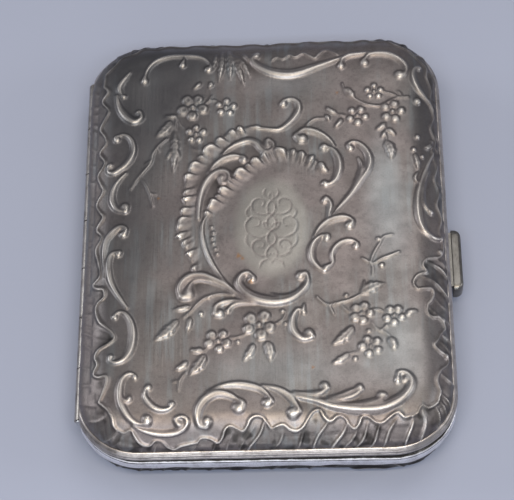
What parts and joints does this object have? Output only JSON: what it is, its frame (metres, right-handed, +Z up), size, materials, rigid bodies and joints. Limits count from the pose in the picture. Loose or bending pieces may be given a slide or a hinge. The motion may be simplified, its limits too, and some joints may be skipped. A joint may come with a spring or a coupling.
{
  "type": "needle case",
  "caption": "Hinged silver needle case with embossed domed shells, a sprung thumb catch, silk linings, packet ribbons and felt leaves for needles.",
  "frame": {"origin": "centre of the flat underside of the base shell", "axes": "+X to the thumb-piece side, +Y to the back of the case, +Z up; the hinge is on the -X side"},
  "size_m": [0.0611, 0.0762, 0.0136],
  "materials": {
    "oxidised_silver": "satin, embossed and tarnished in the hollows",
    "worn_silver": "satin, polished by handling",
    "thumb_silver": "satin, slightly yellow",
    "steel": "bright",
    "card": "matt board",
    "silk": "padded silk satin",
    "ribbon": "ribbed silk ribbon",
    "felt": "wool felt with a pinked edge",
    "thread": "silk thread"
  },
  "bodies": {
    "base": {"base_shell": "oxidised_silver", "base_rim": "worn_silver", "locating_flange": "worn_silver", "base_knuckles": "worn_silver", "hinge_pin": "steel", "spring_post": "worn_silver", "catch_rivets": "steel", "base_card": "card", "base_silk": "silk", "ribbon_front": "ribbon", "ribbon_back": "ribbon", "leaf_spine": "silk", "spine_stitches": "thread"},
    "catch": {"thumb_piece": "thumb_silver", "catch_spring": "steel"},
    "lid": {"lid_shell": "oxidised_silver", "lid_rim": "worn_silver", "lid_knuckles": "worn_silver", "keeper": "steel", "lid_card": "card", "lid_silk": "silk"},
    "leaf_lower": {"felt_leaf_lower": "felt", "needles_lower": "steel"},
    "leaf_upper": {"felt_leaf_upper": "felt", "needles_upper": "steel"}
  },
  "joints": [
    {"name": "lid_hinge", "type": "hinge", "parent": "base", "child": "lid", "pos_m": [-0.0286, 0, 0.0066], "axis": [0, -1, 0], "range_deg": [-0.85, 145]},
    {"name": "catch_press", "type": "slide", "parent": "base", "child": "catch", "axis": [-1, 0, 0], "range_m": [0, 0.0007], "stiffness_N_per_m": 800, "deforming": ["catch_spring"]},
    {"name": "lower_leaf_turn", "type": "hinge", "parent": "base", "child": "leaf_lower", "pos_m": [-0.0247, 0, 0.0073], "axis": [0, -1, 0], "range_deg": [-0.3, 37]},
    {"name": "upper_leaf_turn", "type": "hinge", "parent": "base", "child": "leaf_upper", "pos_m": [-0.0247, 0, 0.0093], "axis": [0, -1, 0], "range_deg": [-0.9, 150]}
  ],
  "couplings": [
    {"joint": "lower_leaf_turn", "follows": "lid_hinge", "ratio": 0.25},
    {"joint": "upper_leaf_turn", "follows": "lid_hinge", "ratio": 1.03}
  ]
}
